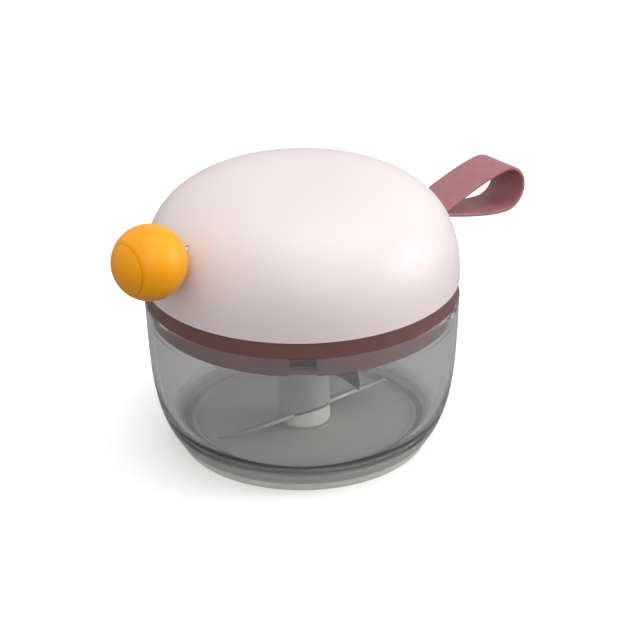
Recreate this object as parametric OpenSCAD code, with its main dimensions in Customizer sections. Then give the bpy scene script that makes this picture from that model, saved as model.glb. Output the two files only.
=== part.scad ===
// Pull-cord mini chopper: a clear bowl with a two-blade cutter, under a domed
// lid that holds a cord spool, a recoil spring and a one-way clutch.
// The ball handle is on -X, the strap loop on +X and the cutter turns about +Z.

/* [Bowl] */
// Outer radius of the bowl at its rim
rim_r = 45; // [44:0.1:46]
// Height of the bowl's rim above the table
rim_z = 45.4; // [45:0.1:46]
// Thickness of the bowl's wall at its rim
bowl_wall = 2.2; // [2:0.1:2.4]
// Height of the anti-slip foot
foot_h = 3; // [2.6:0.1:3.2]
// Radius of the anti-slip foot where it stands
foot_r = 36; // [35:0.5:36.5]
// Angle from the ball's side to the nearest lid key
key_angle = 51.5; // [48:0.5:60]

/* [Cutter] */
// Radius of the cutter's hub
hub_r = 7.6; // [7:0.1:7.8]
// Distance from the axis to a blade's tip
blade_reach = 29; // [26:0.5:30]
// Tilt of each blade about its length
blade_pitch = 25; // [20:1:25]
// Height of the upper blade's centre
upper_blade_z = 27; // [24:0.5:28]

/* [Lid] */
// Height of the band between the bowl's rim and the dome
band_h = 5.1; // [4.8:0.1:5.4]
// Height of the dome above that band
dome_h = 30.3; // [30:0.1:31]
// Thickness of the dome's wall
dome_wall = 2; // [1.8:0.1:2.2]
// Height of the lid's skirt inside the bowl
skirt_h = 6.2; // [6:0.1:6.4]

/* [Pull cord] */
// Diameter of the cord
cord_d = 1.8; // [1.6:0.1:2]
// Radius of the spool's core
spool_r = 17; // [16:0.5:18]
// Radius of the ball handle
ball_r = 10.5; // [10:0.1:11]

/* [Strap] */
// Width of the strap
strap_w = 13.5; // [12:0.5:15]
// Thickness of the strap
strap_t = 1.1; // [1:0.1:1.4]
// Distance from the axis to the middle of the strap's round end
loop_x = 73.8; // [70:0.2:76]
// Outer radius of the strap's round end
loop_r = 7.1; // [6:0.1:8]

/* [Hidden] */
$fn = 72;
eps = 0.01;

// Bowl
bowl_draft = 1;
tuck = 9.3;
tuck_len = 9.1;
inner_tuck = 10.3;
inner_tuck_len = 6.5;
floor_z = 4.4;
boss_r = 8.8;
boss_z = 4.6;
land_h = 6.8;
land_r = rim_r - bowl_wall;
foot_flare = 1;
groove_in = 31.5;
groove_out = 33.5;
groove_h = 0.6;
pin_r = 2;
pin_foot_r = 3.4;
pin_foot_z = 3.5;
pin_foot_h = 0.7;
pin_tip_z = 18;
key_w = 6.8;
key_h = 3;
key_depth = 1.5;
key_gap = 0.3;
key_pocket = 5;
key_pocket_wall = 1.2;
key_top_z = rim_z - 0.7;
key_angles = [180 - key_angle, key_angle, 180 + key_angle, -key_angle];

// Cutter
hub_z = 5;
hub_top_z = 33;
hex_flats = 7;
hex_gap = 0.1;
hex_top_z = 40.5;
lower_blade_z = 7;
blade_t = 0.8;
core_r = 4.2;
bush_r = 3;
bush_top_z = 17.5;
run_gap = 0.05;

// Lid
seam_z = rim_z + band_h;
dome_top_z = seam_z + dome_h;
dome_round = 3.1;
dome_rise = 2.6;
dome_steps = 30;
band_r = rim_r - 0.4;
skirt_r = land_r - 0.4;
skirt_in_r = skirt_r - 2.6;
skirt_z = rim_z - skirt_h;
lid_floor_t = 2;
lid_floor_z = skirt_z + lid_floor_t;
flange_z = rim_z + 0.2;
gasket_in = 42.7;
gasket_out = 44;
gasket_h = 1;
lip_h = 2;
lip_t = 1.4;
lip_gap = 0.25;
screw_ring = 36;
screw_angles = [30, 150, 210, 330];
post_r = 3.5;
counterbore_r = 2.6;
screw_head_r = 2.4;
screw_head_h = 1.6;
screw_seat_z = rim_z + 1.6;
screw_r = 1.25;
screw_len = 13;
plug_h = 2;

// Drive shaft and its bearing
shaft_r = 6;
shaft_z = 33.5;
socket_top_z = 41.5;
shaft_bush_r = 7.6;
shaft_bush_top = 48;
bush_flange_r = 9.2;
bush_flange_t = 0.8;
bearing_boss_r = 10.4;
seal_r = 8.6;
collar_r = 8;
ratchet_disc_z = 52.5;
ratchet_disc_t = 2;
ratchet_top_z = 60.9;
ratchet_in_r = 8.6;
ratchet_root_r = 10.4;
ratchet_tip_r = 12;
ratchet_teeth = 12;
tooth_step = 360 / ratchet_teeth;
face_angle = 52;

// Spool, spring and arbor
exit_z = 69.5;
spool_flange_r = 26;
spool_half_h = 4.5;
flange_t = 1;
spool_low_z = exit_z - spool_half_h;
spool_high_z = exit_z + spool_half_h;
spool_web_t = 1.5;
spool_wall = 1.5;
spool_boss_r = 5.5;
spool_boss_z = 58.9;
arbor_r = 3;
arbor_flange_r = 7;
arbor_flange_t = 1.4;
arbor_flange_z = spool_high_z + 1.1;
arbor_top_z = arbor_flange_z + arbor_flange_t;
arbor_peg_x = 5;
arbor_peg_r = 1.2;
arbor_peg_h = 1.4;
dome_boss_r = 8.5;
arbor_screw_r = 1.5;
arbor_screw_head_r = 2.8;
arbor_screw_head_h = 1.8;
arbor_screw_tip_z = dome_top_z - 1.2;
washer_t = 0.8;
washer_r = 5.4;
washer_z = spool_boss_z - washer_t - 0.1;
cover_r = 16.2;
cover_hole_r = 4.2;
spring_turns = 9;
spring_steps = 20;
spring_in_r = arbor_r + 0.35;
spring_out_r = spool_r - spool_wall - 0.35;
spring_t = 0.35;
spring_w = 5;
spring_tang = 0.9;
slot_w = 0.7;
slot_angle = 0;

// Pawls
pawl_pin_x = 18.2;
pawl_pin_r = 1.25;
pawl_pin_head_r = 2.2;
pawl_pin_head_h = 0.8;
pawl_pin_z = 57.2;
pawl_pin_top_z = spool_low_z + 0.8;
pawl_z = pawl_pin_z + pawl_pin_head_h + 0.1;
pawl_t = 2.8;
pawl_boss_r = 2.4;
pawl_pad_r = 3;
pawl_pad_h = 0.9;
pawl_inner_edge = 1.2;
pawl_outer_edge = 1.9;
nose_gap = 0.8;
coil_r = 2.05;
coil_in_r = 1.45;
coil_leg = 4;
coil_wire = 0.5;

// Cord, eyelet and ball
cord_r = cord_d / 2;
lay_r = spool_r + cord_r;
winding_half_h = 1.5 * cord_d;
eyelet_x = 35.6;
eyelet_seat_x = 36.5;
eyelet_r = 2;
eyelet_flange_r = 3;
eyelet_bore_r = 1.15;
eyelet_mouth_r = 1.8;
eyelet_mouth_len = 1.6;
eyelet_boss_r = 3.6;
bend_x = 37;
ball_flat_x = 42.1;
ball_x = ball_flat_x + 10.3;
cap_offset = 7.5;
cap_gap = 0.15;
cap_spigot_r = 4.9;
cap_spigot_len = 2.5;
knot_r = 2.4;
knot_bay_r = 4;
knot_bay_x = ball_x - 2;
knot_x = knot_bay_x + knot_r + 0.1;
ball_bore_r = 1.2;

// Strap
strap_z = 57.5;
strap_rise = 2;
strap_fold_x = 46.2;
strap_split_x = 49;
loop_shoulder = 7;
loop_steps = 30;
strap_pin_x = 37.4;
strap_pin_r = 1.5;
strap_pin_half = 10;
knuckle_gap = 0.3;
strap_slot_gap = 0.25;
rib_t = 2;
rib_gap = 0.3;
rib_low_z = strap_z - 3;
rib_high_z = strap_z + 6;

mauve = [0.55, 0.31, 0.31];
pale_pink = [0.9, 0.82, 0.81];
smoke = [0.7, 0.71, 0.71, 0.45];
cream = [0.85, 0.84, 0.78];
orange = [0.98, 0.67, 0.13];
steel = [0.78, 0.79, 0.8];
white = [0.93, 0.93, 0.91];
cord_white = [0.9, 0.88, 0.84];

// A point at radius r and angle a
function polar(r, a) = [r * cos(a), r * sin(a)];
// Outer and inner radius of the bowl's wall at height z
function bowl_out(z) = rim_r - bowl_draft * (1 - z / rim_z) - tuck * exp(-z / tuck_len);
function bowl_in(z) = land_r - bowl_draft * (1 - z / rim_z)
    - inner_tuck * exp(-(z - floor_z) / inner_tuck_len);
// A dome's outline from its edge to its top
function dome_line(r, h) = [for (i = [0 : dome_steps]) let (a = 90 * i / dome_steps)
    [r * pow(cos(a), 2 / dome_round), seam_z + h * pow(sin(a), 2 / dome_rise)]];
// A curve from p to r that bends towards q
function bend(p, q, r, n) = [for (i = [0 : n]) let (t = i / n)
    (1 - t) * (1 - t) * p + 2 * t * (1 - t) * q + t * t * r];
// A strip of thickness t along a path
function ribbon(path, t) = let (
    n = len(path) - 1,
    side = [for (i = [0 : n]) let (d = path[min(i + 1, n)] - path[max(i - 1, 0)])
        [-d[1], d[0]] * t / 2 / norm(d)])
    concat([for (i = [0 : n]) path[i] + side[i]], [for (i = [n : -1 : 0]) path[i] - side[i]]);
// The outline of the strap's loop at radius r, from a root point on its upper side
function loop_outline(root, r) = let (
    top = bend(root, [loop_x - loop_shoulder, r], [loop_x, r], 12),
    last = root[1] > 0 ? 0 : 1,
    end = [for (i = [1 : loop_steps - 1]) [loop_x, 0] + polar(r, 90 - 180 * i / loop_steps)],
    bottom = [for (i = [len(top) - 1 : -1 : last]) [top[i][0], -top[i][1]]])
    concat(top, end, bottom);
// The same points in the opposite order
function reversed(points) = [for (i = [len(points) - 1 : -1 : 0]) points[i]];

module ring(r_out, r_in, z0, z1) {
    translate([0, 0, z0])
        difference() {
            cylinder(r = r_out, h = z1 - z0);
            translate([0, 0, -1]) cylinder(r = r_in, h = z1 - z0 + 2);
        }
}

module rod(r, z0, z1) {
    translate([0, 0, z0]) cylinder(r = r, h = z1 - z0);
}

// A rod along X between two distances from the axis, on the ball's side
module pull_rod(r, x0, x1) {
    translate([-x1, 0, exit_z]) rotate([0, 90, 0]) cylinder(r = r, h = x1 - x0);
}

module hex_rod(flats, z0, z1) {
    translate([0, 0, z0]) cylinder(r = flats / 2 / cos(30), h = z1 - z0, $fn = 6);
}

module on_ring(r, angles) {
    for (a = angles) rotate(a) translate([r, 0, 0]) children();
}

// ---- Bowl ----

module bowl() {
    z_out = [for (i = [0 : 16]) foot_h + (rim_z - foot_h) * pow(i / 16, 1.5)];
    land_z = rim_z - land_h;
    z_in = [for (i = [14 : -1 : 0]) floor_z + (land_z - floor_z) * pow(i / 14, 1.5)];
    edge = 0.4;
    outline = concat(
        [[0, foot_h]],
        [for (i = [0 : 15]) [bowl_out(z_out[i]), z_out[i]]],
        [[rim_r, rim_z - edge], [rim_r - edge, rim_z], [land_r + edge, rim_z],
         [land_r, rim_z - edge], [land_r, land_z]],
        [for (z = z_in) [bowl_in(z), z]],
        [[boss_r, floor_z], [boss_r, boss_z], [0, boss_z]]);
    color(smoke) {
        difference() {
            rotate_extrude() polygon(outline);
            ring(groove_out, groove_in, foot_h - 1, foot_h + groove_h);
            rod(boss_r, foot_h - 1, foot_h + 0.3);
            rod(pin_r, pin_foot_z, boss_z + 1);
            rod(pin_foot_r, pin_foot_z, pin_foot_z + pin_foot_h);
        }
        on_ring(land_r, key_angles)
            translate([-key_depth, -key_w / 2, key_top_z - key_h])
                cube([key_depth + bowl_wall / 2, key_w, key_h]);
    }
}

module foot_ring() {
    edge = 0.4;
    inner = foot_r - 6;
    rib_in = groove_in + 0.05;
    rib_out = groove_out - 0.05;
    color(cream)
        rotate_extrude()
            polygon([[inner, 0], [foot_r - edge, 0], [foot_r, edge], [foot_r + foot_flare, foot_h],
                [rib_out, foot_h], [rib_out, foot_h + groove_h - 0.1],
                [rib_in, foot_h + groove_h - 0.1], [rib_in, foot_h], [inner, foot_h]]);
}

module pivot_pin() {
    color(steel) {
        rod(pin_foot_r, pin_foot_z, pin_foot_z + pin_foot_h);
        rod(pin_r, pin_foot_z, pin_tip_z - pin_r);
        translate([0, 0, pin_tip_z - pin_r]) sphere(r = pin_r);
    }
}

// ---- Cutter ----

// The plane of a blade: its children lie flat in it, about the blade's centre
module blade_plane(z, turn) {
    translate([0, 0, z]) rotate([0, 0, turn]) rotate([-blade_pitch, 0, 0]) children();
}

// One swept wing, with its cutting edge on +Y
module wing_outline() {
    root_x = 5;
    tip = [blade_reach, -3.5];
    polygon(concat(
        bend([root_x, 4], [22, 5.4], tip, 12),
        bend(tip, [18, -1], [root_x, -4], 12)));
}

module blade(z, turn) {
    difference() {
        union() {
            blade_plane(z, turn)
                translate([0, 0, -blade_t / 2])
                    linear_extrude(blade_t)
                        for (a = [0, 180]) rotate(a) wing_outline();
            intersection() {
                blade_plane(z, turn)
                    translate([-hub_r - 1, -2 * hub_r, -blade_t / 2])
                        cube([2 * hub_r + 2, 4 * hub_r, blade_t]);
                rod(hub_r - 0.2, max(hub_z, z - hub_r), z + hub_r);
            }
        }
        rod(core_r, z - hub_r, z + hub_r);
    }
}

module lower_blade() { color(steel) blade(lower_blade_z, 0); }
module upper_blade() { color(steel) blade(upper_blade_z, 90); }

// Everything on one side of the lower blade, up (1) or down (-1) from its face
module beside_lower_blade(side) {
    size = 60;
    blade_plane(lower_blade_z, 0)
        translate([-size / 2, -size / 2, side > 0 ? blade_t / 2 : -size - blade_t / 2])
            cube([size, size, size]);
}

module blade_hub() {
    color(smoke) {
        difference() {
            union() {
                intersection() {
                    rod(hub_r, hub_z, hub_top_z);
                    beside_lower_blade(1);
                }
                rod(core_r, hub_z, lower_blade_z + hub_r);
                hex_rod(hex_flats, hub_top_z - 1, hex_top_z);
            }
            rod(bush_r, hub_z - 1, bush_top_z);
            rod(pin_r + run_gap, hub_z, pin_tip_z + run_gap);
            blade(upper_blade_z, 90);
        }
    }
}

module hub_end_cap() {
    color(cream)
        difference() {
            intersection() {
                rod(hub_r, hub_z, lower_blade_z + hub_r);
                beside_lower_blade(-1);
            }
            rod(core_r, hub_z - 1, lower_blade_z + hub_r + 1);
        }
}

module hub_bush() { color(steel) ring(bush_r, pin_r + run_gap, hub_z, bush_top_z); }

// ---- Lid ----

// A block at each of the bowl's keys, from depth inside the rim's inner wall to
// short of that wall, and wider than the key by extra on each side
module at_keys(depth, extra, z0, z1, short) {
    for (a = key_angles) rotate(a)
        translate([land_r - depth, -key_w / 2 - extra, z0])
            cube([depth - short, key_w + 2 * extra, z1 - z0]);
}

module lid_base() {
    edge = 0.5;
    lip_r = rim_r - dome_wall - lip_gap;
    color(mauve)
        difference() {
            union() {
                rotate_extrude()
                    polygon([[0, skirt_z], [skirt_r - edge, skirt_z], [skirt_r, skirt_z + edge],
                        [skirt_r, flange_z], [band_r, flange_z], [band_r, seam_z],
                        [lip_r, seam_z], [lip_r, seam_z + lip_h],
                        [lip_r - lip_t, seam_z + lip_h], [lip_r - lip_t, seam_z - 1],
                        [skirt_in_r, flange_z], [skirt_in_r, lid_floor_z], [0, lid_floor_z]]);
                on_ring(screw_ring, screw_angles) rod(post_r, skirt_z, seam_z);
                rod(bearing_boss_r, skirt_z, shaft_bush_top - bush_flange_t);
                at_keys(key_pocket + key_pocket_wall, key_gap + key_pocket_wall,
                    skirt_z, flange_z - 0.4, 2);
            }
            ring(gasket_out, gasket_in, flange_z - 1, flange_z + gasket_h);
            on_ring(screw_ring, screw_angles) {
                rod(counterbore_r, skirt_z - 1, screw_seat_z);
                rod(screw_r + 0.1, skirt_z - 1, seam_z + 1);
            }
            rod(seal_r, skirt_z - 1, lid_floor_z);
            rod(shaft_bush_r, skirt_z - 1, seam_z);
            at_keys(key_depth + key_gap, key_gap, skirt_z - 1, rim_z, -1);
            at_keys(key_pocket, key_gap - 0.1, key_top_z - key_h, key_top_z, 1);
        }
}

module rim_gasket() {
    color(white) ring(gasket_out - 0.02, gasket_in + 0.02, rim_z, flange_z + gasket_h);
}

// The dome as a solid block, for trimming what joins its wall
module dome_block() {
    rotate_extrude() polygon(concat(dome_line(rim_r, dome_h), [[0, seam_z]]));
}

module dome_cover() {
    color(pale_pink)
        difference() {
            union() {
                rotate_extrude()
                    polygon(concat(dome_line(rim_r, dome_h),
                        reversed(dome_line(rim_r - dome_wall, dome_h - dome_wall))));
                intersection() {
                    dome_block();
                    union() {
                        on_ring(screw_ring, screw_angles) rod(post_r - 0.5, seam_z, dome_top_z);
                        rod(dome_boss_r, arbor_top_z, dome_top_z);
                        pull_rod(eyelet_boss_r, eyelet_seat_x, rim_r);
                        for (s = [-1, 1])
                            translate([strap_pin_x - 3, s * (strap_w / 2 + rib_gap + rib_t / 2)
                                - rib_t / 2, rib_low_z])
                                cube([10, rib_t, rib_high_z - rib_low_z]);
                    }
                }
            }
            on_ring(screw_ring, screw_angles) rod(screw_r, seam_z - 1, seam_z + 11);
            rod(arbor_screw_r, arbor_top_z - 1, arbor_screw_tip_z);
            for (s = [-1, 1]) translate([s * arbor_peg_x, 0, 0])
                rod(arbor_peg_r, arbor_top_z - 1, arbor_top_z + arbor_peg_h);
            pull_rod(eyelet_flange_r + 0.1, eyelet_x - 4, eyelet_seat_x);
            pull_rod(eyelet_r, eyelet_seat_x - 1, rim_r);
            translate([strap_pin_x + 3.5, -strap_w / 2 - strap_slot_gap,
                strap_z - strap_t - strap_slot_gap])
                cube([10, strap_w + 2 * strap_slot_gap, 2 * (strap_t + strap_slot_gap)]);
            cross_rod(strap_pin_r, strap_pin_half + 0.4);
        }
}

module lid_screws() {
    color(steel)
        on_ring(screw_ring, screw_angles)
            difference() {
                union() {
                    rod(screw_head_r, screw_seat_z - screw_head_h, screw_seat_z);
                    rod(screw_r, screw_seat_z - 0.5, screw_seat_z + screw_len);
                }
                for (a = [0, 90]) rotate(a)
                    translate([-1.4, -0.3, screw_seat_z - screw_head_h - 1])
                        cube([2.8, 0.6, 1.8]);
            }
}

module screw_plugs() {
    color(mauve)
        on_ring(screw_ring, screw_angles) rod(counterbore_r, skirt_z, skirt_z + plug_h);
}

module shaft_bush() {
    color(white) {
        ring(shaft_bush_r, shaft_r + run_gap, lid_floor_z, shaft_bush_top);
        ring(bush_flange_r, shaft_r + run_gap, shaft_bush_top - bush_flange_t, shaft_bush_top);
    }
}

module shaft_seal() {
    color(white) ring(seal_r, shaft_r + 0.08, skirt_z, lid_floor_z);
}

// ---- Drive shaft ----

module ratchet_outline() {
    polygon([for (k = [0 : ratchet_teeth - 1], p = [0, 1])
        polar(p == 0 ? ratchet_tip_r : ratchet_root_r,
            face_angle + (k + p) * tooth_step)]);
}

module drive_shaft() {
    cup_z = ratchet_disc_z + ratchet_disc_t;
    color(white)
        difference() {
            union() {
                rod(shaft_r, shaft_z, ratchet_disc_z);
                rod(collar_r, shaft_bush_top + run_gap, ratchet_disc_z + eps);
                rod(ratchet_root_r, ratchet_disc_z, cup_z + eps);
                translate([0, 0, cup_z]) linear_extrude(ratchet_top_z - cup_z)
                    ratchet_outline();
            }
            rod(ratchet_in_r, cup_z, ratchet_top_z + 1);
            hex_rod(hex_flats + 2 * hex_gap, shaft_z - 1, socket_top_z);
        }
}

// ---- Spool and recoil spring ----

module spool() {
    core_in = spool_r - spool_wall;
    color(white)
        difference() {
            union() {
                rotate_extrude()
                    polygon([[arbor_r + run_gap, spool_boss_z], [spool_boss_r, spool_boss_z],
                        [spool_boss_r, spool_low_z], [spool_flange_r, spool_low_z],
                        [spool_flange_r, spool_low_z + flange_t], [spool_r, spool_low_z + flange_t],
                        [spool_r, spool_high_z - flange_t], [spool_flange_r, spool_high_z - flange_t],
                        [spool_flange_r, spool_high_z], [cover_r, spool_high_z],
                        [cover_r, spool_high_z - flange_t], [core_in, spool_high_z - flange_t],
                        [core_in, spool_low_z + spool_web_t],
                        [arbor_r + run_gap, spool_low_z + spool_web_t]]);
                on_ring(pawl_pin_x, [0, 180]) rod(pawl_pad_r, spool_low_z - pawl_pad_h,
                    spool_low_z + eps);
            }
            on_ring(pawl_pin_x, [0, 180]) rod(pawl_pin_r, spool_boss_z, pawl_pin_top_z);
            rotate([0, 0, slot_angle])
                translate([core_in - 1, -slot_w / 2, exit_z - spring_w / 2 - 0.2])
                    cube([spring_tang + 1.2, slot_w, spring_w + 0.4]);
        }
}

module spring_cover() {
    color(white) ring(cover_r, cover_hole_r, spool_high_z - flange_t, spool_high_z);
}

module recoil_spring() {
    n = spring_turns * spring_steps;
    pitch = (spring_out_r - spring_in_r) / n;
    start = slot_angle - 360 * spring_turns;
    path = concat(
        [polar(spring_in_r - spring_tang, slot_angle)],
        [for (i = [0 : n]) polar(spring_in_r + i * pitch, start + 360 * i / spring_steps)],
        [polar(spring_out_r + spring_tang + 0.3, slot_angle)]);
    color(steel)
        translate([0, 0, exit_z - spring_w / 2])
            linear_extrude(spring_w) polygon(ribbon(path, spring_t));
}

module spring_arbor() {
    color(steel)
        difference() {
            union() {
                rod(arbor_r, washer_z + washer_t, arbor_flange_z + eps);
                rod(arbor_flange_r, arbor_flange_z, arbor_top_z);
                for (s = [-1, 1]) translate([s * arbor_peg_x, 0, 0])
                    rod(arbor_peg_r, arbor_flange_z, arbor_top_z + arbor_peg_h);
            }
            rod(arbor_screw_r, spool_boss_z - 2, arbor_top_z + 1);
            rotate([0, 0, slot_angle])
                translate([arbor_screw_r + 0.4, -slot_w / 2, exit_z - spring_w / 2 - 0.3])
                    cube([arbor_r, slot_w, spring_w + 0.6]);
        }
}

module arbor_washer() {
    color(steel) ring(washer_r, arbor_screw_r, washer_z, washer_z + washer_t);
}

module arbor_screw() {
    color(steel)
        difference() {
            union() {
                rod(arbor_screw_head_r, washer_z - arbor_screw_head_h, washer_z);
                rod(arbor_screw_r, washer_z - 0.5, arbor_screw_tip_z);
            }
            for (a = [0, 90]) rotate(a)
                translate([-1.6, -0.35, washer_z - arbor_screw_head_h - 1])
                    cube([3.2, 0.7, 2]);
        }
}

// ---- One-way clutch ----

module pawl() {
    pivot = [pawl_pin_x, 0];
    nose = polar((ratchet_root_r + ratchet_tip_r) / 2, face_angle - 2);
    along = (nose - pivot) / norm(nose - pivot);
    across = [along[1], -along[0]];
    difference() {
        union() {
            translate([0, 0, pawl_z])
                linear_extrude(pawl_t)
                    polygon([pivot - pawl_inner_edge * across,
                        polar(ratchet_tip_r - 0.8, face_angle - 14),
                        polar(ratchet_root_r + 0.2, face_angle - nose_gap),
                        polar(ratchet_tip_r + 0.8, face_angle - nose_gap),
                        pivot + pawl_outer_edge * across]);
            translate([pawl_pin_x, 0, 0]) rod(pawl_boss_r, pawl_z, pawl_z + pawl_t);
        }
        translate([pawl_pin_x, 0, 0]) rod(pawl_pin_r + run_gap, pawl_z - 1, pawl_z + pawl_t + 1);
    }
}

module pawl_a() { color(steel) pawl(); }
module pawl_b() { color(steel) rotate(180) pawl(); }

module pawl_pins() {
    color(steel)
        on_ring(pawl_pin_x, [0, 180]) {
            rod(pawl_pin_head_r, pawl_pin_z, pawl_pin_z + pawl_pin_head_h);
            rod(pawl_pin_r, pawl_pin_z, pawl_pin_top_z);
        }
}

// Torsion springs, each as the sleeve that its coil fills, with one straight leg
module pawl_springs() {
    z0 = pawl_z + pawl_t + 0.1;
    z1 = spool_low_z - pawl_pad_h - 0.1;
    color(steel)
        on_ring(pawl_pin_x, [0, 180]) {
            ring(coil_r, coil_in_r, z0, z1);
            translate([coil_in_r, 0, z0]) cube([coil_wire, coil_leg, coil_wire]);
        }
}

// ---- Cord and ball handle ----

module cord_winding() {
    color(cord_white) ring(spool_r + 2 * cord_r, spool_r, exit_z - winding_half_h,
        exit_z + winding_half_h);
}

// From just clear of the winding to the eyelet's mouth, on a tangent to the spool
module cord_inner_run() {
    lift = acos(lay_r / bend_x);
    leave = polar(lay_r, 180 - lift);
    reach = norm(leave - [-bend_x, 0]);
    clear_of = sqrt(pow(lay_r + 2 * cord_r + 0.25, 2) - lay_r * lay_r);
    color(cord_white)
        translate([-bend_x, 0, exit_z])
            rotate([0, 0, 90 - lift])
                rotate([0, 90, 0])
                    cylinder(r = cord_r, h = reach - clear_of);
}

module cord_outer_run() {
    color(cord_white) pull_rod(cord_r, bend_x + 0.6, knot_x);
}

module cord_knot() {
    color(cord_white)
        difference() {
            translate([-knot_x, 0, exit_z]) sphere(r = knot_r);
            pull_rod(cord_r, knot_x - 5, knot_x);
        }
}

// Its outer end follows the dome's surface
module cord_eyelet() {
    color(pale_pink)
        intersection() {
            translate([0, 0, exit_z]) rotate([0, -90, 0])
                rotate_extrude()
                    polygon([[eyelet_mouth_r, eyelet_x], [eyelet_flange_r, eyelet_x],
                        [eyelet_flange_r, eyelet_seat_x], [eyelet_r, eyelet_seat_x],
                        [eyelet_r, rim_r], [eyelet_bore_r, rim_r],
                        [eyelet_bore_r, eyelet_x + eyelet_mouth_len]]);
            dome_block();
        }
}

module ball_shell() {
    cut_x = ball_x + cap_offset;
    color(orange)
        difference() {
            intersection() {
                translate([-ball_x, 0, exit_z]) sphere(r = ball_r);
                pull_rod(2 * ball_r, ball_flat_x, cut_x - cap_gap);
            }
            pull_rod(ball_bore_r, ball_flat_x - 1, ball_x);
            pull_rod(knot_bay_r, knot_bay_x, cut_x);
            pull_rod(cap_spigot_r + 0.05, cut_x - cap_spigot_len - 0.2, cut_x);
        }
}

module ball_cap() {
    cut_x = ball_x + cap_offset;
    color(orange) {
        intersection() {
            translate([-ball_x, 0, exit_z]) sphere(r = ball_r);
            pull_rod(2 * ball_r, cut_x, ball_x + 2 * ball_r);
        }
        pull_rod(cap_spigot_r, cut_x - cap_spigot_len, cut_x + eps);
    }
}

// ---- Strap ----

// A rod along Y at the strap's pin, as far as half each way
module cross_rod(r, half) {
    translate([strap_pin_x, half, strap_z]) rotate([90, 0, 0]) cylinder(r = r, h = 2 * half);
}

// Turns a flat outline in X and Z into a piece of the strap, wider by extra each side
module strap_piece(extra = 0) {
    translate([0, strap_w / 2 + extra, strap_z]) rotate([90, 0, 0])
        linear_extrude(strap_w + 2 * extra) children();
}

module strap_roll(x, r, extra = 0) { strap_piece(extra) translate([x, 0]) circle(r = r); }

module strap_loop() {
    outside = loop_outline([strap_split_x - 0.5, strap_t], loop_r);
    inside = loop_outline([strap_split_x, 0], loop_r - strap_t);
    color(mauve)
        translate([strap_fold_x, 0, strap_z]) rotate([0, -strap_rise, 0])
            translate([-strap_fold_x, 0, -strap_z])
                difference() {
                    strap_piece() polygon(concat(
                        [[strap_fold_x, -strap_t], [strap_fold_x, strap_t]], outside));
                    strap_piece(1) polygon(inside);
                    strap_roll(strap_fold_x, strap_t + knuckle_gap, 1);
                }
}

module strap_anchor() {
    color(mauve)
        difference() {
            union() {
                strap_piece()
                    translate([strap_pin_x, -strap_t])
                        square([strap_fold_x - strap_pin_x, 2 * strap_t]);
                strap_roll(strap_fold_x, strap_t);
                strap_roll(strap_pin_x, strap_pin_r + strap_t);
            }
            strap_roll(strap_pin_x, strap_pin_r, 1);
        }
}

module strap_pin() { color(steel) cross_rod(strap_pin_r, strap_pin_half); }

bowl();
foot_ring();
pivot_pin();
blade_hub();
hub_end_cap();
hub_bush();
lower_blade();
upper_blade();
lid_base();
rim_gasket();
dome_cover();
lid_screws();
screw_plugs();
shaft_bush();
shaft_seal();
drive_shaft();
spool();
spring_cover();
recoil_spring();
spring_arbor();
arbor_washer();
arbor_screw();
pawl_a();
pawl_b();
pawl_pins();
pawl_springs();
cord_winding();
cord_inner_run();
cord_outer_run();
cord_knot();
cord_eyelet();
ball_shell();
ball_cap();
strap_anchor();
strap_pin();
strap_loop();
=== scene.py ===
import math

import bmesh
import bpy
from mathutils import Matrix, Vector


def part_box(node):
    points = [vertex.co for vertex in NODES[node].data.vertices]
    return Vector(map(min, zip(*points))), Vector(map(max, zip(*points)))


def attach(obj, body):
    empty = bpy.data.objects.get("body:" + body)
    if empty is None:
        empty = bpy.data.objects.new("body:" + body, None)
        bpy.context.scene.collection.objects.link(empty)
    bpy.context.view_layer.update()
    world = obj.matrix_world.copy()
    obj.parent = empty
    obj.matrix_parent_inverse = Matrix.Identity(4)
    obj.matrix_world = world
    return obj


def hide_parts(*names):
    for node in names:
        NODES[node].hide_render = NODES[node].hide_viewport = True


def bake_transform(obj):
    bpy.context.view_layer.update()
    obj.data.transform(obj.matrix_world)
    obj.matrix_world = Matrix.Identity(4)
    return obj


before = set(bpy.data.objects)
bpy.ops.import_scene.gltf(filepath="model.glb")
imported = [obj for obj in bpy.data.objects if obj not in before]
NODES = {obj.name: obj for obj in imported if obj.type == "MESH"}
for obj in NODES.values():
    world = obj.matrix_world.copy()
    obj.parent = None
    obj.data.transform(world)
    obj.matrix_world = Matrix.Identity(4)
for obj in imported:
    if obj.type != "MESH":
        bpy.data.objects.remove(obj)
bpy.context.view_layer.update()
MM = 0.001

# ---- Camera ----

CAMERA_AZIMUTH = math.radians(-38.5)
CAMERA_ELEVATION = math.radians(25.1)
CAMERA_ROLL = math.radians(0.66)
CAMERA_DISTANCE = 0.7
CAMERA_LENS = 137.7
CAMERA_SENSOR = 36
BOWL_MIDDLE = Vector((0, 0, 0.045))
AIM_RIGHT = 0.0050
AIM_UP = -0.0083


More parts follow.
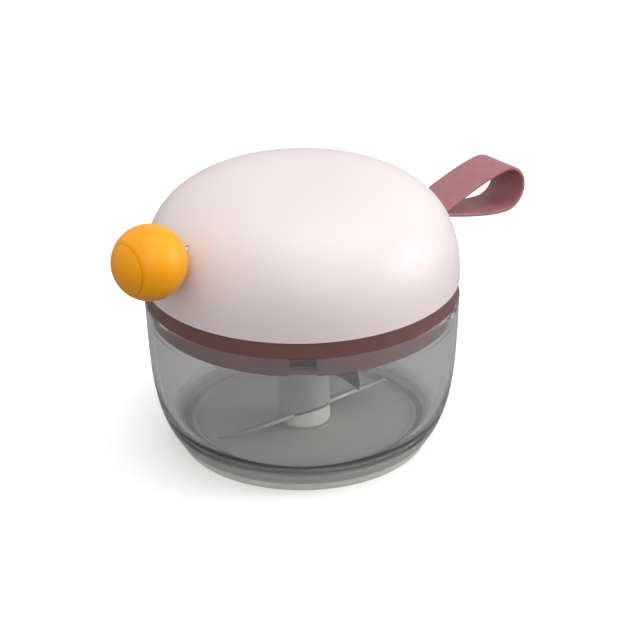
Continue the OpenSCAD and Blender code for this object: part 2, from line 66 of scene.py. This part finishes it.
def make_camera():
    """A camera on the front left, looking down, aimed a little below the bowl's middle."""
    away = Vector((-math.sin(CAMERA_AZIMUTH), math.cos(CAMERA_AZIMUTH), 0))
    right = Vector((away.y, -away.x, 0))
    forward = away * math.cos(CAMERA_ELEVATION) - Vector((0, 0, math.sin(CAMERA_ELEVATION)))
    up = right.cross(forward)
    camera = bpy.data.objects.new("camera", bpy.data.cameras.new("camera"))
    camera.data.lens = CAMERA_LENS
    camera.data.sensor_width = CAMERA_SENSOR
    camera.data.clip_start = 0.05
    camera.location = BOWL_MIDDLE - forward * CAMERA_DISTANCE
    aim = BOWL_MIDDLE + right * AIM_RIGHT + up * AIM_UP - camera.location
    turn = aim.to_track_quat("-Z", "Y").to_matrix() @ Matrix.Rotation(-CAMERA_ROLL, 3, "Z")
    camera.rotation_mode = "QUATERNION"
    camera.rotation_quaternion = turn.to_quaternion()
    bpy.context.scene.collection.objects.link(camera)
    bpy.context.scene.camera = camera


make_camera()

# ---- Materials ----

# The sockets of a Mix node that carry colours, which share their names with other sockets
MIX_FIRST = 6
MIX_SECOND = 7
MIX_RESULT = 2
NOISE_DETAIL = 3.0
BRAID_LEAN = math.radians(40)
BRAID_RIDGES = 700.0
BRAID_DEPTH = 0.15 * MM
SMOOTH_ANGLE = math.radians(24)
WELD_DISTANCE = 0.002 * MM


def new_node(tree, kind, **settings):
    """A new shader node with its inputs or its own settings given by name."""
    node = tree.nodes.new(kind)
    for key, value in settings.items():
        if key in node.inputs:
            node.inputs[key].default_value = value
        else:
            setattr(node, key, value)
    return node


def stretched_coords(tree, stretch):
    """Object coordinates, scaled so that a pattern is drawn out along an axis."""
    coords = new_node(tree, "ShaderNodeTexCoord")
    mapping = new_node(tree, "ShaderNodeMapping")
    mapping.inputs["Scale"].default_value = stretch
    tree.links.new(coords.outputs["Object"], mapping.inputs["Vector"])
    return mapping.outputs["Vector"]


def noise(tree, vector, size):
    """Noise whose features are about size metres across."""
    node = new_node(tree, "ShaderNodeTexNoise", Scale=1 / size, Detail=NOISE_DETAIL)
    tree.links.new(vector, node.inputs["Vector"])
    return node.outputs["Fac"]


def map_range(tree, value, low, high, from_low=0.3, from_high=0.7):
    """A value that runs from low to high while the given one runs from from_low to from_high."""
    node = new_node(tree, "ShaderNodeMapRange")
    for key, number in (("From Min", from_low), ("From Max", from_high), ("To Min", low), ("To Max", high)):
        node.inputs[key].default_value = number
    tree.links.new(value, node.inputs["Value"])
    return node.outputs["Result"]


def shade(colour, factor):
    """A colour made darker or lighter, with full opacity."""
    return tuple(min(1.0, c * factor) for c in colour) + (1.0,)


def mix_colours(tree, factor, first, second):
    """The first colour where the factor is 0 and the second where it is 1."""
    node = new_node(tree, "ShaderNodeMix", data_type="RGBA")
    node.inputs[MIX_FIRST].default_value = first
    node.inputs[MIX_SECOND].default_value = second
    tree.links.new(factor, node.inputs[0])
    return node.outputs[MIX_RESULT]


def bump(tree, height, depth):
    """A normal from a height of 0 to 1 that stands depth metres high."""
    node = new_node(tree, "ShaderNodeBump", Strength=1.0, Distance=depth)
    tree.links.new(height, node.inputs["Height"])
    return node.outputs["Normal"]


def material(name, colour, rough, mottle=0.04, mottle_size=0.012, rough_spread=0.05, rough_size=0.004,
             grain=0.00002, grain_size=0.0005, stretch=(1, 1, 1), **sockets):
    """A Principled material with a mottled colour, uneven gloss and a fine moulded grain."""
    made = bpy.data.materials.new(name)
    made.use_nodes = True
    tree = made.node_tree
    shader = tree.nodes["Principled BSDF"]
    vector = stretched_coords(tree, stretch)
    patches = map_range(tree, noise(tree, vector, mottle_size), 0, 1)
    tree.links.new(mix_colours(tree, patches, shade(colour, 1 - mottle), shade(colour, 1 + mottle)),
                   shader.inputs["Base Color"])
    gloss = map_range(tree, noise(tree, vector, rough_size),
                      max(0.0, rough - rough_spread), rough + rough_spread)
    tree.links.new(gloss, shader.inputs["Roughness"])
    tree.links.new(bump(tree, noise(tree, vector, grain_size), grain), shader.inputs["Normal"])
    for key, value in sockets.items():
        shader.inputs[key.replace("_", " ")].default_value = value
    return made


def cord_material():
    """Braided nylon: two crossed sets of fine ridges over an off-white yarn."""
    made = material("cord_braid", (0.74, 0.68, 0.67), 0.75, mottle=0.08, mottle_size=0.0008)
    tree = made.node_tree
    coords = new_node(tree, "ShaderNodeTexCoord")
    height = None
    for lean in (1, -1):
        mapping = new_node(tree, "ShaderNodeMapping")
        mapping.inputs["Rotation"].default_value = (0, lean * BRAID_LEAN, lean * BRAID_LEAN)
        wave = new_node(tree, "ShaderNodeTexWave", Scale=BRAID_RIDGES)
        tree.links.new(coords.outputs["Object"], mapping.inputs["Vector"])
        tree.links.new(mapping.outputs["Vector"], wave.inputs["Vector"])
        if height is None:
            height = wave.outputs["Fac"]
        else:
            both = new_node(tree, "ShaderNodeMath", operation="MAXIMUM")
            tree.links.new(height, both.inputs[0])
            tree.links.new(wave.outputs["Fac"], both.inputs[1])
            height = both.outputs[0]
    tree.links.new(bump(tree, height, BRAID_DEPTH), tree.nodes["Principled BSDF"].inputs["Normal"])
    return made


def frost_low_part(made, low, high, colour, rough, transmission):
    """Makes a clear material milky below a height, fading to its own look above it."""
    tree = made.node_tree
    shader = tree.nodes["Principled BSDF"]
    coords = new_node(tree, "ShaderNodeTexCoord")
    height = new_node(tree, "ShaderNodeSeparateXYZ")
    tree.links.new(coords.outputs["Object"], height.inputs[0])
    frost = map_range(tree, height.outputs["Z"], 1, 0, low, high)
    tint = mix_colours(tree, frost, (1, 1, 1, 1), colour)
    tree.links.new(shader.inputs["Base Color"].links[0].from_socket, tint.node.inputs[MIX_FIRST])
    tree.links.new(tint, shader.inputs["Base Color"])
    rougher = new_node(tree, "ShaderNodeMath", operation="MAXIMUM")
    tree.links.new(shader.inputs["Roughness"].links[0].from_socket, rougher.inputs[0])
    tree.links.new(map_range(tree, frost, 0, rough, 0, 1), rougher.inputs[1])
    tree.links.new(rougher.outputs[0], shader.inputs["Roughness"])
    clear = shader.inputs["Transmission Weight"].default_value
    tree.links.new(map_range(tree, frost, clear, transmission, 0, 1), shader.inputs["Transmission Weight"])


CLEAR = material("clear_bowl", (0.96, 0.965, 0.97), 0.05, mottle=0.02, mottle_size=0.03, rough_spread=0.03,
                 rough_size=0.02, grain=0.000003, grain_size=0.006, Transmission_Weight=0.93, IOR=1.12)
frost_low_part(CLEAR, low=3.5 * MM, high=8.5 * MM, colour=(0.56, 0.555, 0.53, 1), rough=0.45,
               transmission=0.15)
HUB_CLEAR = material("clear_hub", (0.56, 0.565, 0.57), 0.35, mottle=0.02, grain_size=0.002,
                     Transmission_Weight=0.3, IOR=1.2)
DOME = material("dome_pink", (0.745, 0.655, 0.658), 0.36, mottle=0.012, mottle_size=0.03, rough_spread=0.04,
                grain=0.000008, grain_size=0.0007, Specular_IOR_Level=0.4)
MAUVE = material("mauve_plastic", (0.165, 0.072, 0.068), 0.42, mottle=0.05, mottle_size=0.01, grain=0.00001,
                 Specular_IOR_Level=0.35)
STRAP = material("strap_silicone", (0.34, 0.132, 0.142), 0.62, mottle=0.08, mottle_size=0.003,
                 rough_spread=0.06, grain=0.00003, grain_size=0.0004, Sheen_Weight=0.05, Sheen_Roughness=0.5)
ORANGE = material("orange_plastic", (0.9, 0.36, 0.002), 0.34, mottle=0.05, mottle_size=0.006,
                  rough_spread=0.05, grain=0.00001, grain_size=0.0006, Specular_IOR_Level=0.3)
FOOT = material("foot_silicone", (0.7, 0.69, 0.62), 0.55, mottle=0.04, mottle_size=0.008, grain=0.00002)
CREAM = material("cream_plastic", (0.8, 0.785, 0.7), 0.4, mottle=0.03)
WHITE = material("white_acetal", (0.80, 0.80, 0.77), 0.4, mottle=0.03, grain=0.00001)
GASKET = material("gasket_silicone", (0.62, 0.58, 0.56), 0.6, mottle=0.05)
STEEL = material("turned_steel", (0.56, 0.57, 0.58), 0.3, mottle=0.08, mottle_size=0.003, rough_spread=0.08,
                 grain=0.00001, grain_size=0.0002, stretch=(1, 1, 6), Metallic=1.0)
BLADE = material("blade_steel", (0.36, 0.365, 0.37), 0.6, mottle=0.06, mottle_size=0.004, rough_spread=0.08,
                 rough_size=0.0005, grain=0.00001, grain_size=0.0003, stretch=(1, 12, 1), Metallic=1.0)
SPRING = material("spring_steel", (0.24, 0.27, 0.33), 0.3, mottle=0.12, mottle_size=0.004, Metallic=1.0)
BRASS = material("sintered_brass", (0.58, 0.42, 0.17), 0.45, mottle=0.12, mottle_size=0.001, grain=0.00003,
                 grain_size=0.0003, Metallic=1.0)
CORD = cord_material()

NODE_MATERIALS = {
    "bowl": CLEAR, "foot_ring": FOOT, "pivot_pin": STEEL,
    "blade_hub": HUB_CLEAR, "hub_end_cap": CREAM, "hub_bush": BRASS,
    "lower_blade": BLADE, "upper_blade": BLADE,
    "lid_base": MAUVE, "rim_gasket": GASKET, "dome_cover": DOME, "lid_screws": STEEL, "screw_plugs": MAUVE,
    "shaft_bush": WHITE, "shaft_seal": GASKET, "drive_shaft": WHITE,
    "spool": WHITE, "spring_cover": WHITE, "recoil_spring": SPRING, "spring_arbor": STEEL,
    "arbor_washer": STEEL, "arbor_screw": STEEL, "pawl_a": STEEL, "pawl_b": STEEL, "pawl_pins": STEEL,
    "pawl_springs": SPRING, "cord_winding": CORD, "cord_inner_run": CORD, "cord_outer_run": CORD,
    "cord_knot": CORD, "cord_eyelet": DOME, "ball_shell": ORANGE, "ball_cap": ORANGE,
    "strap_anchor": STRAP, "strap_pin": STEEL, "strap_loop": STRAP,
}


def smooth_node(node):
    """Rounds a CAD node's shading across its shallow edges, without moving a vertex."""
    for polygon in node.data.polygons:
        polygon.use_smooth = True
    weld = node.modifiers.new("weld", "WELD")
    weld.merge_threshold = WELD_DISTANCE
    split = node.modifiers.new("split", "EDGE_SPLIT")
    split.split_angle = SMOOTH_ANGLE


for name, made in NODE_MATERIALS.items():
    NODES[name].data.materials.clear()
    NODES[name].data.materials.append(made)
    smooth_node(NODES[name])

# ---- Mesh helpers ----

SHARP_ANGLE = math.radians(38)
SAME_POINT = 1e-7
REVOLVE_STEPS = 96


def finish_piece(mesh, name, made):
    """Turns a bmesh into a smooth object with its normals outward."""
    bmesh.ops.remove_doubles(mesh, verts=mesh.verts, dist=SAME_POINT)
    bmesh.ops.recalc_face_normals(mesh, faces=mesh.faces)
    data = bpy.data.meshes.new(name)
    mesh.to_mesh(data)
    mesh.free()
    for polygon in data.polygons:
        polygon.use_smooth = True
    data.set_sharp_from_angle(angle=SHARP_ANGLE)
    data.materials.append(made)
    piece = bpy.data.objects.new(name, data)
    bpy.context.scene.collection.objects.link(piece)
    return piece


def loft(name, rings, made, closed_along=False):
    """A skin over rings of points; open ends are capped."""
    mesh = bmesh.new()
    rows = [[mesh.verts.new(p) for p in ring] for ring in rings]
    pairs = list(zip(rows, rows[1:]))
    if closed_along:
        pairs.append((rows[-1], rows[0]))
    for low, high in pairs:
        for i in range(len(low)):
            j = (i + 1) % len(low)
            mesh.faces.new((low[i], low[j], high[j], high[i]))
    if not closed_along:
        mesh.faces.new(rows[0])
        mesh.faces.new(rows[-1])
    return finish_piece(mesh, name, made)


def revolve(name, profile, centre, axis, made):
    """Turns a closed outline of (radius, along) about an axis through centre."""
    turn = Vector(axis).to_track_quat("Z", "X").to_matrix()
    rings = []
    for i in range(REVOLVE_STEPS):
        a = 2 * math.pi * i / REVOLVE_STEPS
        rings.append([turn @ Vector((r * math.cos(a), r * math.sin(a), z)) + Vector(centre)
                      for r, z in profile])
    return loft(name, rings, made, closed_along=True)


def tube(name, path, radius, made, sides=16):
    """A round tube along a path of points, with flat ends."""
    rings = []
    side = None
    for i, point in enumerate(path):
        along = (path[min(i + 1, len(path) - 1)] - path[max(i - 1, 0)]).normalized()
        if side is None:
            side = along.orthogonal().normalized()
        side = (side - along * side.dot(along)).normalized()
        other = along.cross(side)
        rings.append([point + radius * (side * math.cos(2 * math.pi * k / sides)
                                        + other * math.sin(2 * math.pi * k / sides)) for k in range(sides)])
    return loft(name, rings, made)


def arc(centre, radius, start, end, steps):
    """Points on an arc of (x, y), from one angle in degrees to another."""
    angles = [math.radians(start + (end - start) * i / steps) for i in range(steps + 1)]
    return [(centre[0] + radius * math.cos(a), centre[1] + radius * math.sin(a)) for a in angles]


def bend(start, control, end, steps):
    """Points on a curve of (x, y) that bends from start towards control, then to end."""
    points = []
    for i in range(steps + 1):
        t = i / steps
        parts = ((1 - t) ** 2, 2 * t * (1 - t), t ** 2)
        points.append(tuple(sum(p * point[axis] for p, point in zip(parts, (start, control, end)))
                            for axis in (0, 1)))
    return points


def middle(node):
    """The middle of a CAD node's box."""
    low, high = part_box(node)
    return Vector([(a + b) / 2 for a, b in zip(low, high)])


# ---- Ball handle ----

CORD_BORE = 1.2 * MM
KNOT_SPACE_RADIUS = 4 * MM
KNOT_SPACE_FLOOR = -2 * MM
SOCKET_RADIUS = 4.9 * MM
SOCKET_DEPTH = 2.7 * MM
PLUG_RADIUS = 4.8 * MM
PLUG_DEPTH = 2.5 * MM
SEAM_GAP = 0.05 * MM
SEAM_EDGE = 0.45 * MM
SEAM_ROUND = 0.3 * MM
POLE_RADIUS = 0.01 * MM
POLE_ANGLE = 89.9


def make_ball():
    """The ball: a shell with a bored inner pole, and an end cap with a soft-edged seam between them."""
    shell_low, shell_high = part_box("ball_shell")
    cap_low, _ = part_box("ball_cap")
    radius = (shell_high.z - shell_low.z) / 2
    centre = Vector((cap_low.x + radius, 0, (shell_low.z + shell_high.z) / 2))
    seam = centre.x - shell_low.x
    flat = shell_high.x - centre.x
    seam_radius = math.sqrt(radius ** 2 - seam ** 2)
    flat_angle = math.degrees(math.asin(flat / radius))
    shell_angle = math.degrees(math.asin((seam - SEAM_ROUND) / radius))
    cap_angle = math.degrees(math.asin((seam + SEAM_GAP + SEAM_ROUND) / radius))
    shell = [(CORD_BORE, -flat)]
    shell += arc((0, 0), radius, -flat_angle, shell_angle, 40)
    shell += [(seam_radius - SEAM_EDGE, seam), (SOCKET_RADIUS, seam),
              (SOCKET_RADIUS, seam - SOCKET_DEPTH), (KNOT_SPACE_RADIUS, seam - SOCKET_DEPTH),
              (KNOT_SPACE_RADIUS, KNOT_SPACE_FLOOR), (CORD_BORE, KNOT_SPACE_FLOOR)]
    cap = [(POLE_RADIUS, seam - PLUG_DEPTH), (PLUG_RADIUS, seam - PLUG_DEPTH),
           (PLUG_RADIUS, seam + SEAM_GAP), (seam_radius - SEAM_EDGE, seam + SEAM_GAP)]
    cap += arc((0, 0), radius, cap_angle, POLE_ANGLE, 20)
    for name, profile, node in (("ball_body", shell, "ball_shell"), ("ball_end", cap, "ball_cap")):
        piece = revolve(name, profile, centre, (-1, 0, 0), ORANGE)
        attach(piece, "handle")
        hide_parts(node)


make_ball()

# ---- Cord ----

CORD_RADIUS = 0.9 * MM
CORD_POINTS = 60
CORD_INSIDE = 1.5 * MM
CORD_TURNS = 3
TURN_STEPS = 48


def make_cord():
    """The stretch of cord from the eyelet to the knot, as one fixed straight tube; on the real cutter it
    draws out beside the ball as the cord is pulled.
    """
    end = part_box("cord_outer_run")[0].x
    axis_z = middle("cord_outer_run").z
    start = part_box("cord_eyelet")[1].x - CORD_INSIDE
    path = [Vector((start + (end - start) * i / CORD_POINTS, 0, axis_z)) for i in range(CORD_POINTS + 1)]
    span = tube("cord_span", path, CORD_RADIUS, CORD)
    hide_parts("cord_outer_run")
    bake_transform(span)


def make_winding():
    """The turns of cord on the spool."""
    low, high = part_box("cord_winding")
    radius = high.x - CORD_RADIUS
    steps = CORD_TURNS * TURN_STEPS
    rise = (high.z - low.z - 2 * CORD_RADIUS) / steps
    path = []
    for i in range(steps + 1):
        a = 2 * math.pi * i / TURN_STEPS
        path.append(Vector((radius * math.cos(a), radius * math.sin(a), low.z + CORD_RADIUS + rise * i)))
    winding = tube("cord_turns", path, CORD_RADIUS, CORD, sides=10)
    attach(winding, "spool")
    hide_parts("cord_winding")


make_cord()
make_winding()

# ---- Strap ----

STRAP_THICKNESS = 1.1 * MM
STRAP_EDGE = 0.35 * MM
STRAP_TRIM = 0.01 * MM
# Distances from the cutter's axis: where the loop turns, and where its two layers part
STRAP_FOLD = 46.2 * MM
STRAP_SPLIT = 49.0 * MM
STRAP_SHOULDER = 7.0 * MM


def strap_line():
    """The middle line of the strap as (x, z) points, out along the top and back along the bottom."""
    low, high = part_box("strap_loop")
    root = middle("strap_pin")
    outer = (high.z - low.z) / 2
    loop_x = high.x - outer
    rise = math.atan2((low.z + high.z) / 2 - root.z, loop_x - STRAP_FOLD)
    half = STRAP_THICKNESS / 2
    radius = outer - half
    top = [(root.x + (STRAP_SPLIT - root.x) * i / 8, half) for i in range(8)]
    top += bend((STRAP_SPLIT, half), (loop_x - STRAP_SHOULDER, radius), (loop_x, radius), 20)
    round_end = arc((loop_x, 0), radius, 90, -90, 30)[1:-1]
    flat = top + round_end + [(x, -z) for x, z in reversed(top)]
    turned = []
    for x, z in flat:
        reach = x - STRAP_FOLD
        turned.append((STRAP_FOLD + reach * math.cos(rise) - z * math.sin(rise),
                       root.z + reach * math.sin(rise) + z * math.cos(rise)))
    return turned


def make_strap():
    """A silicone strap folded on itself, with rounded edges, tilted as a whole about STRAP_FOLD."""
    low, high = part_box("strap_loop")
    width = high.y - low.y
    line = strap_line()
    half = STRAP_THICKNESS / 2 - STRAP_TRIM
    section = []
    for cx, cy, start in ((1, 1, 0), (-1, 1, 90), (-1, -1, 180), (1, -1, 270)):
        corner = (cx * (width / 2 - STRAP_EDGE), cy * (half - STRAP_EDGE))
        section += arc(corner, STRAP_EDGE, start, start + 90, 4)
    rings = []
    for i, (x, z) in enumerate(line):
        before, after = line[max(i - 1, 0)], line[min(i + 1, len(line) - 1)]
        along = Vector((after[0] - before[0], 0, after[1] - before[1])).normalized()
        out = Vector((-along.z, 0, along.x))
        rings.append([Vector((x, u, z)) + out * v for u, v in section])
    strap = loft("strap_band", rings, STRAP)
    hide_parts("strap_loop", "strap_anchor")
    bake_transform(strap)


make_strap()

# ---- Stage ----

SKY_LIGHT = 0.75
GROUND_LIGHT = 0.32
# The world fades from one to the other between these heights of a direction
HORIZON_LOW = -0.15
HORIZON_HIGH = 0.25
FLOOR_SIZE = 6
FLOOR_GLOW = 0.22
# Each light's name, place, size and power
LIGHTS = (
    ("top_light", (0.1, -0.1, 1.1), 1.0, 4.3),
    ("right_light", (0.85, -0.7, 0.38), 0.7, 6.9),
    ("front_light", (-0.5, -0.8, 0.7), 0.7, 2.2),
)


def make_world():
    """A soft white sky over a dark ground, so that what faces down is shaded."""
    world = bpy.data.worlds.new("studio")
    world.use_nodes = True
    tree = world.node_tree
    coords = new_node(tree, "ShaderNodeTexCoord")
    height = new_node(tree, "ShaderNodeSeparateXYZ")
    tree.links.new(coords.outputs["Generated"], height.inputs[0])
    strength = map_range(tree, height.outputs["Z"], GROUND_LIGHT, SKY_LIGHT, HORIZON_LOW, HORIZON_HIGH)
    tree.links.new(strength, tree.nodes["Background"].inputs["Strength"])
    tree.nodes["Background"].inputs["Color"].default_value = (1, 1, 1, 1)
    bpy.context.scene.world = world


def make_stage():
    """A pale floor that lights nothing and isn't seen through the bowl, and three big soft lights."""
    bpy.ops.mesh.primitive_plane_add(size=FLOOR_SIZE, location=(0, 0, 0))
    floor = bpy.context.object
    floor.name = "floor"
    floor.visible_diffuse = False
    floor.visible_glossy = False
    floor.visible_transmission = False
    floor.data.materials.append(material("floor_paper", (0.93, 0.93, 0.93), 0.9, mottle=0.0, grain=0.0,
                                         Specular_IOR_Level=0.0, Emission_Color=(1, 1, 1, 1),
                                         Emission_Strength=FLOOR_GLOW))
    for name, place, size, power in LIGHTS:
        light = bpy.data.lights.new(name, "AREA")
        light.size = size
        light.energy = power
        lamp = bpy.data.objects.new(name, light)
        lamp.location = place
        lamp.rotation_mode = "QUATERNION"
        lamp.rotation_quaternion = (BOWL_MIDDLE - Vector(place)).to_track_quat("-Z", "Y")
        bpy.context.scene.collection.objects.link(lamp)
    bpy.context.scene.view_settings.view_transform = "Standard"


make_world()
make_stage()
